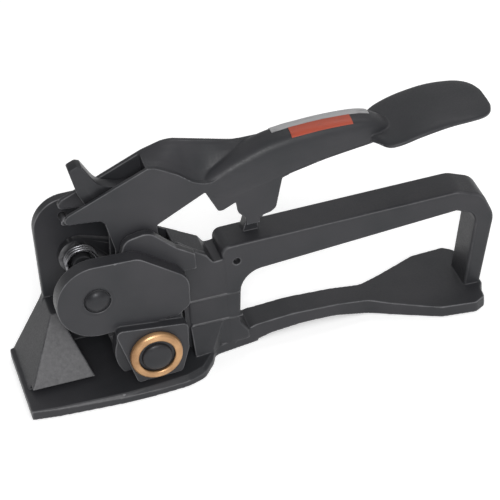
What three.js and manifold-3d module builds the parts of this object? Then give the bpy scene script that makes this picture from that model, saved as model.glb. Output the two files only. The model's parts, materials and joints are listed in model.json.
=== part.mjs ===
// Feed-wheel strapping tensioner for steel strap, as an assembly of separate pieces.
// Millimetres, +Z up. X runs along the tool: the nose is at -X, the grip at +X.
// The operator's side, where strap is laid in, is -Y. The flat underside lies on z = 0.

import * as THREE from 'three';
import { mergeVertices } from 'three/addons/utils/BufferGeometryUtils.js';
import { ConvexGeometry } from 'three/addons/geometries/ConvexGeometry.js';
import Module from 'manifold-3d';

const wasm = await Module();
wasm.setup();

// ---------- driving dimensions ----------

const GAP = 0.3; // clearance between touching pieces
const NOSE_X = -160; // front edge of the nose
const FOOT_FRONT_X = -161;
const FOOT_THICK = 7;
const FOOT_FAR_Y = 36;
const REAR_FOOT_THICK = 8;

const ROCKER_PIVOT = [-106, 79]; // x, z of the axis on which the rocker swings
const SHAFT = [-73, 31]; // x, z of the feed wheel's shaft, also the lever's axis
const DRIVE_PAWL_PIVOT = [-70, 97.5];
const HOLDING_PAWL_PIVOT = [-40, 22];
const TIE_BOLT = [-50.5, 66];
const SPRING_ANCHOR = [-113, 111];
const PLUG_SCREW = [-73, -19.5]; // x, y

const CHEEK_NEAR_Y = -30; // outer face of the rocker's near plate
const CHEEK_FAR_Y = -19;
const BLOCK_NEAR_Y = -36; // outer face of the bearing block
const BLOCK_FAR_Y = -26;
const WALL_NEAR_Y = -18.6; // the base's inner wall, which carries the near pivot pin
const WALL_FAR_Y = -12.6;
const YOKE_OUTER_Y = 11.7; // half width of the lever's yoke
const YOKE_INNER_Y = 8;
const FAR_PLATE_Y = [24, 28.7]; // the rocker's far plate
const SHELL_Y = [29.2, 36]; // the base's far side wall
const BODY_HALF_Y = 13; // half width of the base's middle body and its grip loop

const FEED_WHEEL_R = 22.6;
const FEED_WHEEL_Y = [-25.5, -12.6];
const FEED_WHEEL_TEETH = 48;
const RATCHET_R = 25;
const RATCHET_TOOTH = 3;
const RATCHET_TEETH = 18;
const RATCHET_HALF_Y = 6;
const NEAR_JOURNAL_R = 13.2;
const SHAFT_R = 11;
const FAR_JOURNAL_R = 9;
const BUSHING_FLANGE_R = 18;
const PIVOT_PIN_R = 7;
const PIVOT_HEAD_R = 9.2;
const PAWL_PIN_R = 4;
const STUD_R = 4;

const LEVER_HUB_R = 20;
const BAR_HALF_Y = 12;
const PLUG_TOP_Z = 8;

// ---------- materials ----------

function paint(color, roughness, metalness) {
  return new THREE.MeshStandardMaterial({ color, roughness, metalness });
}
const blackCasting = () => paint(0x37373b, 0.55, 0.3);
const blackSteel = () => paint(0x2e2f33, 0.45, 0.6);
const groundSteel = () => paint(0x77787d, 0.35, 0.9);
const springSteel = () => paint(0x5a5b60, 0.3, 0.9);
const bronze = () => paint(0xb48258, 0.35, 0.9);
const silverLabel = () => paint(0xb0b0b4, 0.4, 0.2);
const orangeLabel = () => paint(0xb8492c, 0.5, 0.0);

// ---------- outlines ----------

// A closed outline from corner points [a, b] or [a, b, radius]; a radius rounds that corner.
function outline(points) {
  const shape = new THREE.Shape();
  points.forEach((point, i) => {
    const corner = new THREE.Vector2(point[0], point[1]);
    const before = points[(i + points.length - 1) % points.length];
    const after = points[(i + 1) % points.length];
    const toBefore = new THREE.Vector2(before[0], before[1]).sub(corner).normalize();
    const toAfter = new THREE.Vector2(after[0], after[1]).sub(corner).normalize();
    const radius = point[2] ?? 0;
    const halfAngle = Math.acos(THREE.MathUtils.clamp(toBefore.dot(toAfter), -1, 1)) / 2;
    const reach = radius / Math.tan(halfAngle);
    const start = corner.clone().addScaledVector(toBefore, reach);
    const end = corner.clone().addScaledVector(toAfter, reach);
    if (i === 0) {
      shape.moveTo(start.x, start.y);
    } else {
      shape.lineTo(start.x, start.y);
    }
    if (radius > 0) {
      const bisector = toBefore.clone().add(toAfter).normalize();
      const centre = corner.clone().addScaledVector(bisector, radius / Math.sin(halfAngle));
      const from = Math.atan2(start.y - centre.y, start.x - centre.x);
      const to = Math.atan2(end.y - centre.y, end.x - centre.x);
      const turnsLeft = toBefore.x * toAfter.y - toBefore.y * toAfter.x < 0;
      shape.absarc(centre.x, centre.y, radius, from, to, !turnsLeft);
    }
  });
  shape.closePath();
  return shape;
}

// The convex outline round a list of discs [a, b, radius].
function outlineRound(discs, steps = 20) {
  const points = discs.flatMap(([a, b, r]) => Array.from({ length: steps }, (_, i) => {
    const angle = 2 * Math.PI * i / steps;
    return new THREE.Vector2(a + r * Math.cos(angle), b + r * Math.sin(angle));
  }));
  points.sort((p, q) => p.x - q.x || p.y - q.y);
  const side = (list) => {
    const hull = [];
    for (const p of list) {
      while (hull.length > 1) {
        const [u, v] = hull.slice(-2);
        if ((v.x - u.x) * (p.y - u.y) - (v.y - u.y) * (p.x - u.x) > 1e-6) {
          break;
        }
        hull.pop();
      }
      hull.push(p);
    }
    return hull.slice(0, -1);
  };
  return new THREE.Shape([...side(points), ...side([...points].reverse())]);
}

function circle(centre, radius) {
  return new THREE.Shape().absarc(centre[0], centre[1], radius, 0, 2 * Math.PI, false);
}

// A saw-tooth or knurled rim.
function toothedRim(axis, teeth, outerR, depth, lean) {
  const points = [];
  for (let i = 0; i < teeth; i += 1) {
    for (const [step, radius] of [[i, outerR - depth], [i + lean, outerR]]) {
      const angle = 2 * Math.PI * step / teeth;
      points.push(new THREE.Vector2(axis[0] + radius * Math.cos(angle), axis[1] + radius * Math.sin(angle)));
    }
  }
  return new THREE.Shape(points);
}

// ---------- solids ----------

function solid(geometry) {
  const bare = geometry.clone();
  bare.deleteAttribute('normal');
  bare.deleteAttribute('uv');
  const merged = mergeVertices(bare, 1e-4);
  const vertProperties = new Float32Array(merged.attributes.position.array);
  const triVerts = new Uint32Array(merged.index.array);
  return new wasm.Manifold(new wasm.Mesh({ numProp: 3, vertProperties, triVerts }));
}

function join(...solids) {
  return solids.reduce((a, b) => a.add(b));
}

function cut(body, ...tools) {
  return tools.reduce((a, b) => a.subtract(b), body);
}

// An outline in x, z given thickness from nearY to farY, with its edges bevelled.
function plate(shape, nearY, farY, bevel = 0, curveSegments = 2) {
  const geometry = new THREE.ExtrudeGeometry(shape, {
    depth: farY - nearY - 2 * bevel,
    bevelEnabled: bevel > 0,
    bevelThickness: bevel,
    bevelSize: bevel,
    bevelOffset: -bevel,
    bevelSegments: bevel > 2 ? 2 : 1,
    curveSegments,
  });
  geometry.rotateX(Math.PI / 2);
  geometry.translate(0, farY - bevel, 0);
  return solid(geometry);
}

// An outline in x, y given thickness from lowZ to highZ.
function slab(shape, lowZ, highZ, bevel = 0, curveSegments = 2) {
  const geometry = new THREE.ExtrudeGeometry(shape, {
    depth: highZ - lowZ - 2 * bevel,
    bevelEnabled: bevel > 0,
    bevelThickness: bevel,
    bevelSize: bevel,
    bevelOffset: -bevel,
    bevelSegments: 1,
    curveSegments,
  });
  geometry.translate(0, 0, lowZ + bevel);
  return solid(geometry);
}

// A round bar along Y about the axis at x, z.
function rod(axis, radius, nearY, farY, segments = 32) {
  const geometry = new THREE.CylinderGeometry(radius, radius, farY - nearY, segments);
  geometry.translate(axis[0], (nearY + farY) / 2, axis[1]);
  return solid(geometry);
}

// A round bar along Z at x, y.
function vertical(x, y, radius, lowZ, highZ, segments = 20) {
  const geometry = new THREE.CylinderGeometry(radius, radius, highZ - lowZ, segments);
  geometry.rotateX(Math.PI / 2);
  geometry.translate(x, y, (lowZ + highZ) / 2);
  return solid(geometry);
}

// A turned piece about the axis at x, z; its profile is [radius, y], closed or ending on the axis.
function turned(axis, profile, segments = 32) {
  const geometry = new THREE.LatheGeometry(profile.map(([r, y]) => new THREE.Vector2(r, y)), segments);
  geometry.translate(axis[0], 0, axis[1]);
  return solid(geometry);
}

function box(low, high) {
  const geometry = new THREE.BoxGeometry(high[0] - low[0], high[1] - low[1], high[2] - low[2]);
  geometry.translate((low[0] + high[0]) / 2, (low[1] + high[1]) / 2, (low[2] + high[2]) / 2);
  return solid(geometry);
}

function hull(points) {
  return solid(new ConvexGeometry(points.map(([x, y, z]) => new THREE.Vector3(x, y, z))));
}

// A torsion spring about the axis at x, z, with straight legs at its two ends.
class CoilPath extends THREE.Curve {
  constructor(axis, coilR, nearY, farY, turns, startAngle, legs) {
    super();
    Object.assign(this, { axis, coilR, nearY, farY, turns, startAngle, legs });
  }

  getPoint(t, target = new THREE.Vector3()) {
    const [legNear, legFar] = this.legs;
    const coil = 2 * Math.PI * this.coilR * this.turns;
    const s = t * (legNear + coil + legFar) - legNear;
    const along = THREE.MathUtils.clamp(s / coil, 0, 1);
    const angle = this.startAngle + 2 * Math.PI * this.turns * along;
    const past = s < 0 ? s : Math.max(0, s - coil);
    return target.set(
      this.axis[0] + this.coilR * Math.cos(angle) - past * Math.sin(angle),
      THREE.MathUtils.lerp(this.nearY, this.farY, along),
      this.axis[1] + this.coilR * Math.sin(angle) + past * Math.cos(angle),
    );
  }
}

function torsionSpring(path, wireR, steps, sides = 8) {
  const section = new THREE.Shape(Array.from({ length: sides }, (_, i) => {
    const angle = 2 * Math.PI * i / sides;
    return new THREE.Vector2(wireR * Math.cos(angle), wireR * Math.sin(angle));
  }));
  return solid(new THREE.ExtrudeGeometry(section, { extrudePath: path, steps, bevelEnabled: false }));
}

const group = new THREE.Group();

function add(name, body, material) {
  const mesh = body.getMesh();
  const geometry = new THREE.BufferGeometry();
  geometry.setAttribute('position', new THREE.BufferAttribute(mesh.vertProperties, 3));
  geometry.setIndex(new THREE.BufferAttribute(mesh.triVerts, 1));
  const piece = new THREE.Mesh(geometry, material);
  piece.name = name;
  group.add(piece);
}

// ---------- base casting ----------

function foot() {
  const plan = outline([
    [FOOT_FRONT_X, -36.6, 2], [-142.9, -39.2], [-122.6, -40.6], [-95.5, -42.2, 40], [-74, -41.8], [-53, -40.2],
    [-41, -35.7, 12], [-32, -24, 12], [-28, -15, 6], [-12, -12.5], [4, -10], [4, 10], [-20, FOOT_FAR_Y, 4],
    [FOOT_FRONT_X, FOOT_FAR_Y, 2],
  ]);
  return slab(plan, 0, FOOT_THICK, 1.5);
}

// The nose: a hollow hipped plough whose near side leans in over the strap's slot.
function nose() {
  const top = 48;
  const ridgeX = -133;
  const shellOfNose = hull([
    [NOSE_X + 0.5, -24, 6], [NOSE_X + 0.5, FOOT_FAR_Y, 6], [ridgeX, 9, top], [ridgeX, FOOT_FAR_Y, top],
    [-110.6, -24, 6], [ridgeX + 5, 9, top], [-110.6, FOOT_FAR_Y, 6], [ridgeX + 5, FOOT_FAR_Y, top],
  ]);
  const hollow = hull([
    [-153, -17.6, 5], [-153, SHELL_Y[0], 5], [-129.5, 12, 44], [-129.5, SHELL_Y[0], 44],
    [-90, -17.6, 5], [-90, SHELL_Y[0], 5], [-90, 12, 44], [-90, SHELL_Y[0], 44],
  ]);
  const strapSlot = box([-170, -50, FOOT_THICK], [-90, WALL_FAR_Y, FOOT_THICK + 3.6]);
  return cut(shellOfNose, hollow, strapSlot);
}

function farShell() {
  const side = outline([
    [-155, 3], [-133.6, 48, 3], [-133.6, 124.5, 23], [-97, 124.5, 12], [-52, 80, 10], [-20, 63, 3],
    [-20, 3],
  ]);
  return plate(side, SHELL_Y[0], SHELL_Y[1], 1.5);
}

function innerWall() {
  const side = outline([
    [-106, 92.5], [-87, 92.5, 6], [-79, 108, 7], [-62, 111, 11], [-48, 99, 4], [-36, 91],
    [-36, 79], [-60, 79, 8], [-98, 66.5], [-106, 65],
  ]);
  return join(plate(side, WALL_NEAR_Y, WALL_FAR_Y, 0.8), rod(ROCKER_PIVOT, 14, WALL_NEAR_Y, WALL_FAR_Y));
}

// The middle body. Its near skin reaches forward over the pocket that holds the holding pawl.
function middleBody() {
  const skin = outline([
    [-48, 99, 2], [-38, 91], [-27, 83, 2], [-23, 76.5, 2], [-12, 77.5], [-7, 60], [-9, 10], [-14, 4],
    [-30, 4], [-31, 27, 2], [-42, 29, 2], [-42, 57, 2], [-44, 79, 2], [-48, 80, 1],
  ]);
  const core = outline([
    [-48, 99, 2], [-38, 91], [-27, 83, 2], [-23, 76.5, 2], [-12, 77.5], [-7, 60], [-9, 10], [-14, 4],
    [-24, 4], [-24, 56, 3], [-42, 58, 2], [-44, 79, 2], [-48, 80, 1],
  ]);
  const lap = outline([[-46, 12], [-46, 56, 2], [-38, 60], [-24, 60], [-24, 5], [-40, 5]]);
  const flare = hull([
    [-43, -10, 28], [-43, -13.2, 27.5], [-43, -21, 6], [-31.5, -19.5, 6], [-26, -13.4, 6], [-20, -13.2, 27.5],
    [-20, -10, 28], [-20, -10, 6], [-43, -10, 6],
  ]);
  const web = box([-24, 5, 3], [-20.5, SHELL_Y[0] + 2, 60]);
  return join(
    plate(skin, -BODY_HALF_Y, -8.4, 0.8),
    plate(lap, -BODY_HALF_Y + 0.7, -8.4),
    plate(core, -9, BODY_HALF_Y, 0.8),
    web,
    flare,
  );
}

// The grip loop: top bar, rear bar and the end that joins the middle body.
function gripLoop() {
  const loop = outline([
    [-17, 86, 6], [151, 87.8, 16], [168.8, 80.6, 13], [176.2, 62, 16], [163.8, 3], [152, 3],
    [163.4, 66, 9], [149, 72], [-4.5, 61.4, 17], [-8, 22, 6], [-2, 13], [-2, 6], [-17, 6],
  ]);
  return plate(loop, -BODY_HALF_Y - 0.3, BODY_HALF_Y + 0.3, 4);
}

// The lower limb, an arched strip that spreads into the wide rear foot.
function lowerStrip() {
  const side = outline([
    [-30, 0], [-4, 0, 8], [14, 4.2, 20], [36, 6.2, 40], [60, 5.4, 60], [84, 0.4, 20], [96, 0], [166, 0],
    [166, REAR_FOOT_THICK], [122, REAR_FOOT_THICK + 0.6, 60], [98, 10, 30], [62, 14.6, 60], [30, 16.2, 60],
    [2, 14.5, 20],
    [-14, 9, 10], [-30, 6.6],
  ]);
  const plan = outline([
    [-30, -12], [-12, -12, 10], [6, -10.4, 30], [84, -9.4, 14], [130, -31.6, 10], [154, -34.6, 5], [162, -29.8, 4],
    [163, -20], [169, -8, 6], [170, 6, 6], [163, 20], [160.5, 29, 2], [154, 34, 2], [130, 32.5, 10],
    [84, 10, 14], [6, 10, 30], [-12, 12, 10], [-30, 12],
  ]);
  return plate(side, -40, 40, 0).intersect(slab(plan, -1, 20));
}

function stopNub() {
  return plate(outline([[-5, 84], [3.5, 98.4, 1.5], [12.5, 98.4, 1.5], [13.5, 84]]), -2, 9, 0.8);
}


function baseCasting() {
  const body = join(
    foot(), nose(), farShell(), innerWall(), middleBody(), gripLoop(), lowerStrip(), stopNub(),
  );
  const plugPocket = box([-86.3, -27.3, 4.7], [-59.7, -11.7, 20]);
  return cut(
    body,
    plugPocket,
    box([-92, -8, 4.6], [-54, 8, 20]),
    plate(outlineRound([[...SHAFT, 14], [SHAFT[0] + 5.5, SHAFT[1] + 4, 14]]), SHELL_Y[0] - 1, 60),
    vertical(...PLUG_SCREW, 4.3, -1, 3.3),
    vertical(...PLUG_SCREW, 2.3, 0, 6),
    rod(ROCKER_PIVOT, PIVOT_PIN_R + 0.2, -40, 0),
    rod(ROCKER_PIVOT, PIVOT_PIN_R + 0.2, SHELL_Y[0] - 1, 60),
    rod(SPRING_ANCHOR, 2.7, SHELL_Y[0] - 1, 60, 16),
    rod([-7, 73], 2.5, -20, -8, 16),
  );
}

add('base_casting', baseCasting(), blackCasting());

// ---------- small pieces held by the base ----------

// The hardened plug under the feed wheel, ribbed across the strap.
function gripperPlug() {
  const block = box([-86, -27, 5], [-60, -12, PLUG_TOP_Z]);
  const ribs = Array.from({ length: 8 }, (_, i) => {
    const x = -84.5 + 3.1 * i;
    return hull([
      [x, -28, PLUG_TOP_Z + 0.2], [x + 1.4, -28, PLUG_TOP_Z + 0.2], [x + 0.7, -28, PLUG_TOP_Z - 0.7],
      [x, -11, PLUG_TOP_Z + 0.2], [x + 1.4, -11, PLUG_TOP_Z + 0.2], [x + 0.7, -11, PLUG_TOP_Z - 0.7],
    ]);
  });
  return cut(block, ...ribs);
}

add('gripper_plug', cut(gripperPlug(), vertical(...PLUG_SCREW, 2.3, 0, 6.8)), groundSteel());
add(
  'plug_screw',
  cut(
    join(vertical(...PLUG_SCREW, 4, 0.6, 3), vertical(...PLUG_SCREW, 2, 2.5, 6.5)),
    vertical(...PLUG_SCREW, 1.6, 0, 2, 6),
  ),
  blackSteel(),
);

// The near pivot pin, with a domed head in the cheek's counterbore.
add(
  'pivot_pin_near',
  turned(ROCKER_PIVOT, [
    [0, -32.6], [4, -32.4], [7, -31.6], [8.6, -30.4], [PIVOT_HEAD_R, -29], [PIVOT_HEAD_R, -28.2],
    [PIVOT_PIN_R, -28.2], [PIVOT_PIN_R, WALL_FAR_Y - 0.1], [0, WALL_FAR_Y - 0.1],
  ], 28),
  blackSteel(),
);
add(
  'pivot_pin_far',
  turned(ROCKER_PIVOT, [
    [0, 12.6], [PIVOT_PIN_R - 1, 12.6], [PIVOT_PIN_R, 13.6], [PIVOT_PIN_R, 37], [PIVOT_PIN_R - 1, 38], [0, 38],
  ], 28),
  blackSteel(),
);
add('spring_anchor_pin', turned(SPRING_ANCHOR, [
  [0, 20], [2, 20], [2.5, 20.6], [2.5, 36.5], [0, 36.5],
], 16), groundSteel());

// ---------- rocker ----------

// The near plate: the cheek round the pivot, and below it the block that carries the bushing.
function rockerNearPlate() {
  const cheek = outline([
    [-106, 106.6], [-76, 105.5, 12], [-44, 82, 14], [-44.8, 60, 5], [-54, 53, 3], [-98, 51.9], [-106, 51.4],
  ]);
  const block = outline([
    [-99, 55.5, 4], [-49, 49.5, 4], [-50, 29, 3], [-56, 11, 4], [-87, 9.8, 3],
  ]);
  const guard = rod(SHAFT, 26, -29, CHEEK_FAR_Y, 40).intersect(box([-100, -31, 16], [-73, -18, 60]));
  const neck = outline([[-97, 40], [-51, 40], [-51, 60], [-97, 60]]);
  const body = join(
    plate(cheek, CHEEK_NEAR_Y, CHEEK_FAR_Y, 1.2),
    plate(circle(ROCKER_PIVOT, 27.6), CHEEK_NEAR_Y, CHEEK_FAR_Y, 1.2, 16),
    plate(neck, CHEEK_NEAR_Y + 1, BLOCK_FAR_Y),
    plate(block, BLOCK_NEAR_Y, BLOCK_FAR_Y, 0.8),
    guard,
  );
  return cut(
    body,
    rod(ROCKER_PIVOT, PIVOT_PIN_R + 0.25, -40, 0),
    rod(ROCKER_PIVOT, 12.5, -40, CHEEK_NEAR_Y + 2, 36),
    rod(SHAFT, 16.3, -40, 0, 36),
    rod(SHAFT, FEED_WHEEL_R + 0.6, FEED_WHEEL_Y[0] - 0.4, 0, 40),
    rod(TIE_BOLT, STUD_R + 0.1, CHEEK_NEAR_Y + 3, 0, 20),
  );
}

function rockerFarPlate() {
  const side = outlineRound([
    [...ROCKER_PIVOT, 14], [...SHAFT, 17], [...TIE_BOLT, 9], [...HOLDING_PAWL_PIVOT, 9],
  ]);
  return cut(
    plate(side, ...FAR_PLATE_Y, 0.6),
    rod(ROCKER_PIVOT, PIVOT_PIN_R + 0.25, 0, 40),
    rod(SHAFT, 12.3, 0, 40, 36),
    rod(TIE_BOLT, STUD_R + 0.1, 0, 40, 20),
    rod(HOLDING_PAWL_PIVOT, STUD_R + 0.1, 0, 40, 20),
  );
}

// The bolt that ties the rocker's two plates, with its spacer sleeve.
function tieBolt() {
  const [nearEnd, sleeveEnd] = [CHEEK_NEAR_Y + 3.4, FAR_PLATE_Y[0] - GAP];
  return join(
    turned(TIE_BOLT, [
      [0, nearEnd], [STUD_R, nearEnd], [STUD_R, CHEEK_FAR_Y + GAP], [STUD_R + 0.8, CHEEK_FAR_Y + GAP],
      [STUD_R + 0.8, sleeveEnd], [STUD_R, sleeveEnd], [STUD_R, FAR_PLATE_Y[1] - 0.2], [0, FAR_PLATE_Y[1] - 0.2],
    ], 20),
  );
}

add('rocker_near_plate', rockerNearPlate(), blackCasting());
add('rocker_far_plate', rockerFarPlate(), blackSteel());
add('rocker_tie_bolt', tieBolt(), blackSteel());
add('shaft_bushing_near', turned(SHAFT, [
  [12.5, -40.2], [15.4, -40.6], [17.2, -39.6], [BUSHING_FLANGE_R, -38],
  [BUSHING_FLANGE_R, BLOCK_NEAR_Y - GAP], [16, BLOCK_NEAR_Y - GAP], [16, BLOCK_FAR_Y],
  [NEAR_JOURNAL_R + 0.2, BLOCK_FAR_Y], [NEAR_JOURNAL_R + 0.2, -38.2], [12.5, -39], [12.5, -40.2],
], 40), bronze());
add('shaft_bushing_far', turned(SHAFT, [
  [FAR_JOURNAL_R + 0.2, FAR_PLATE_Y[0]], [12, FAR_PLATE_Y[0]], [12, FAR_PLATE_Y[1]],
  [FAR_JOURNAL_R + 0.2, FAR_PLATE_Y[1]], [FAR_JOURNAL_R + 0.2, FAR_PLATE_Y[0]],
], 32), bronze());
add(
  'holding_pawl_stud',
  turned(HOLDING_PAWL_PIVOT, [
    [0, -6.6], [STUD_R, -6.6], [STUD_R, FAR_PLATE_Y[1] - 0.2], [0, FAR_PLATE_Y[1] - 0.2],
  ], 20),
  blackSteel(),
);
add(
  'rocker_spring',
  torsionSpring(new CoilPath(ROCKER_PIVOT, 9.2, 14.6, 22, 2.5, Math.PI * 0.95, [0, 24]), 1.6, 44, 6),
  springSteel(),
);

// ---------- feed wheel shaft ----------

// The two keys' seats and the keys themselves: [lowest radius, highest radius, near end, far end].
const KEYS = [[10.8, 15.2, -24, -14], [8.6, 13, -5, 5]];
const keyBlock = ([low, high, near, far], room) => box(
  [SHAFT[0] - 2 - room, near - room, SHAFT[1] + low - room],
  [SHAFT[0] + 2 + room, far + room, SHAFT[1] + high + room],
);
const keySeats = () => KEYS.map((key) => keyBlock(key, 0.3));

function feedShaft() {
  const body = turned(SHAFT, [
    [0, -42.5], [8.2, -41.8], [10.3, -39.7], [10.3, -38.6], [12.2, -38.4], [NEAR_JOURNAL_R, -37.6],
    [NEAR_JOURNAL_R, FEED_WHEEL_Y[1] - 0.1], [SHAFT_R, FEED_WHEEL_Y[1] - 0.1], [SHAFT_R, 23.4],
    [FAR_JOURNAL_R, 23.4], [FAR_JOURNAL_R, 29.2], [FAR_JOURNAL_R - 1, 29.2], [FAR_JOURNAL_R - 1, 30.6],
    [FAR_JOURNAL_R, 30.6], [FAR_JOURNAL_R, 31.6], [FAR_JOURNAL_R - 0.8, 32.4], [0, 32.4],
  ], 30);
  return cut(body, ...keySeats());
}

function retainingRing() {
  const ring = turned(SHAFT, [
    [FAR_JOURNAL_R - 0.7, 29.5], [11, 29.5], [11, 30.3], [FAR_JOURNAL_R - 0.7, 30.3],
    [FAR_JOURNAL_R - 0.7, 29.5],
  ], 24);
  return cut(ring, box([SHAFT[0] - 2, 29, SHAFT[1] - 12], [SHAFT[0] + 2, 31, SHAFT[1]]));
}

// A wheel keyed to the shaft.
function ringOn(axis, rim, boreR, nearY, farY) {
  return cut(plate(rim, nearY, farY), rod(axis, boreR, nearY - 1, farY + 1), ...keySeats());
}

add('feed_shaft', feedShaft(), blackSteel());
add('feed_wheel_key', keyBlock(KEYS[0], 0), groundSteel());
add('ratchet_key', keyBlock(KEYS[1], 0), groundSteel());
add('shaft_retaining_ring', retainingRing(), springSteel());
add(
  'feed_wheel',
  ringOn(SHAFT, toothedRim(SHAFT, FEED_WHEEL_TEETH, FEED_WHEEL_R, 0.9, 0.5), NEAR_JOURNAL_R + GAP, ...FEED_WHEEL_Y),
  groundSteel(),
);
add(
  'ratchet_wheel',
  ringOn(
    SHAFT, toothedRim(SHAFT, RATCHET_TEETH, RATCHET_R, RATCHET_TOOTH, 0.12), SHAFT_R + GAP,
    -RATCHET_HALF_Y, RATCHET_HALF_Y,
  ),
  blackSteel(),
);
add('shaft_spacer', turned(SHAFT, [
  [SHAFT_R + GAP, 12.3], [14, 12.3], [14, 23.6], [SHAFT_R + GAP, 23.6], [SHAFT_R + GAP, 12.3],
], 32), blackSteel());

// ---------- tension lever ----------

function leverYokeOutline() {
  return outline([
    [-115, 137, 3], [-58, 160.5], [-45, 164.3, 8], [-38, 164.3, 8], [3, 153.6, 30], [20, 153.4, 20], [34, 152],
    [34, 131.2], [29.2, 129.8, 1], [23.4, 107.6, 4], [19.5, 105, 4], [11.5, 103.5], [11.5, 98.8],
    [2.4, 98.8], [2.4, 104.3, 1], [-2.6, 110, 4], [-3.4, 118.8], [-12.6, 114.6, 2], [-16, 114.9, 2],
    [-23.5, 131.7], [-57.6, 114.8, 8], [-55.5, 31], [-90.5, 31], [-87, 103, 12], [-89, 112, 12],
    [-92, 127.5, 5], [-121.5, 131, 3],
  ]);
}

// Height of the bar's crown along the tool.
function leverTop(x) {
  const t = THREE.MathUtils.clamp((x - 3) / 57, -1, 2);
  return 149.6 + 10.2 * t * (2 - t);
}

function leverBar() {
  const crown = Array.from({ length: 8 }, (_, i) => 10 + 12 * i).map((x) => [x, leverTop(x)]);
  const side = outline([
    [-60, 159], [-45, 164.3, 8], [-38, 164.3, 8], ...crown, [105, 149, 3], [104, 141, 3], [92, 138.4],
    [70, 135.6], [42, 130.2], [30, 127.6], [20, 123.6], [3, 119.8], [-14, 118.4], [-23.5, 131.7],
    [-50, 131.7], [-60, 142],
  ]);
  return plate(side, -BAR_HALF_Y, BAR_HALF_Y, 2);
}

function palm() {
  const side = outline([
    [88, 141], [102, 140.8, 20], [120, 145, 40], [141, 148, 60], [176, 146, 1.6], [178, 150, 1.6],
    [160, 153.8, 60], [140, 154.4, 60], [120, 152, 40], [102, 147.6, 30], [88, 149],
  ]);
  const plan = outline([
    [84, -8], [92, -9, 4], [98, -22, 10], [122, -24.6, 60], [167.5, -19.8, 7], [176.4, -6.5, 12],
    [177.6, 8, 10], [170.5, 24.6, 7], [122, 27, 60], [98, 23, 10], [92, 9, 4], [84, 8],
  ]);
  return plate(side, -40, 40).intersect(slab(plan, 130, 170));
}

function tensionLever() {
  const yoke = leverYokeOutline();
  const body = join(
    plate(yoke, -YOKE_OUTER_Y, -YOKE_INNER_Y, 0.6),
    plate(yoke, YOKE_INNER_Y, YOKE_OUTER_Y, 0.6),
    rod(SHAFT, LEVER_HUB_R, -YOKE_OUTER_Y, -YOKE_INNER_Y, 40),
    rod(SHAFT, LEVER_HUB_R, YOKE_INNER_Y, YOKE_OUTER_Y, 40),
    leverBar(),
    palm(),
    plate(outline([[2.4, 98.8], [11.5, 98.8], [21, 107, 3], [27, 135], [-10, 135], [-2.6, 110]]), -9, 9, 0.6),
  );
  return cut(
    body,
    rod(SHAFT, SHAFT_R + GAP, -20, 20, 40),
    rod(DRIVE_PAWL_PIVOT, PAWL_PIN_R + 0.1, -20, 20, 20),
  );
}

add('tension_lever', tensionLever(), blackCasting());
add('drive_pawl_pin', turned(DRIVE_PAWL_PIVOT, [
  [0, -12.1], [PAWL_PIN_R - 0.5, -12.1], [PAWL_PIN_R, -11.6], [PAWL_PIN_R, 11.6], [PAWL_PIN_R - 0.5, 12.1],
  [0, 12.1],
], 20), groundSteel());

function labelStrip(fromX, toX, nearY, farY) {
  const steps = 8;
  const xs = Array.from({ length: steps + 1 }, (_, i) => THREE.MathUtils.lerp(fromX, toX, i / steps));
  const under = xs.map((x) => [x, leverTop(x) + 0.3]);
  const over = xs.map((x) => [x, leverTop(x) + 0.7]).reverse();
  return plate(outline([...under, ...over]), nearY, farY);
}

add('label_silver', labelStrip(27, 94, 0.3, 7.8), silverLabel());
add('label_orange', labelStrip(38, 80, -8.6, 0), orangeLabel());

// ---------- pawls ----------

function drivePawl() {
  const side = outline([
    [-80, 97, 4], [-90, 64, 3], [-86.6, 53.8], [-84.6, 53.9], [-80, 58.5, 3], [-73.5, 76, 4], [-61, 92, 6],
    [-60.5, 104, 8], [-64, 136, 4], [-68, 146.5, 3], [-78, 147, 6], [-92.5, 151.5, 12], [-96.5, 159, 12],
    [-101, 170, 1.6], [-104.2, 170.8, 1.6], [-110.4, 168, 1.6], [-105, 148, 8], [-97, 128, 8], [-80, 106, 6],
  ]);
  return cut(plate(side, -5.6, 4.4, 0.6), rod(DRIVE_PAWL_PIVOT, PAWL_PIN_R + GAP, -20, 20, 20));
}

function holdingPawl() {
  const [x, z] = HOLDING_PAWL_PIVOT;
  const toe = outline([[x - 4.6, z], [x - 9.1, z + 17.6], [x - 7.6, z + 19], [x - 3, z + 15], [x + 6, z]]);
  return cut(
    join(plate(toe, -5.4, 5.4, 0.6), rod(HOLDING_PAWL_PIVOT, 7, -5.4, 5.4, 28)),
    rod(HOLDING_PAWL_PIVOT, STUD_R + GAP, -20, 20, 20),
  );
}

add('drive_pawl', drivePawl(), blackSteel());
add('drive_pawl_spring', torsionSpring(
  new CoilPath(DRIVE_PAWL_PIVOT, 5.6, 5.3, 7.2, 1.6, Math.PI * 0.4, [6, 8]), 0.6, 36, 6,
), springSteel());
add('holding_pawl', holdingPawl(), blackSteel());
add('holding_pawl_spring', torsionSpring(
  new CoilPath(HOLDING_PAWL_PIVOT, 5.4, 6.6, 10.4, 2.6, Math.PI * 0.6, [6, 8]), 0.7, 48, 6,
), springSteel());

export default group;
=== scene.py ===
"""The looks of a strapping tensioner tool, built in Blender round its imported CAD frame.

Lengths in the geometry functions are in millimetres, in the part's own frame: +X to the rear,
-Y to the near side, +Z up, underside at z = 0. Meshes are scaled to metres when they are made.
"""
import json
import math

import bmesh
import bpy
import numpy as np
from mathutils import Matrix, Vector


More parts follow.
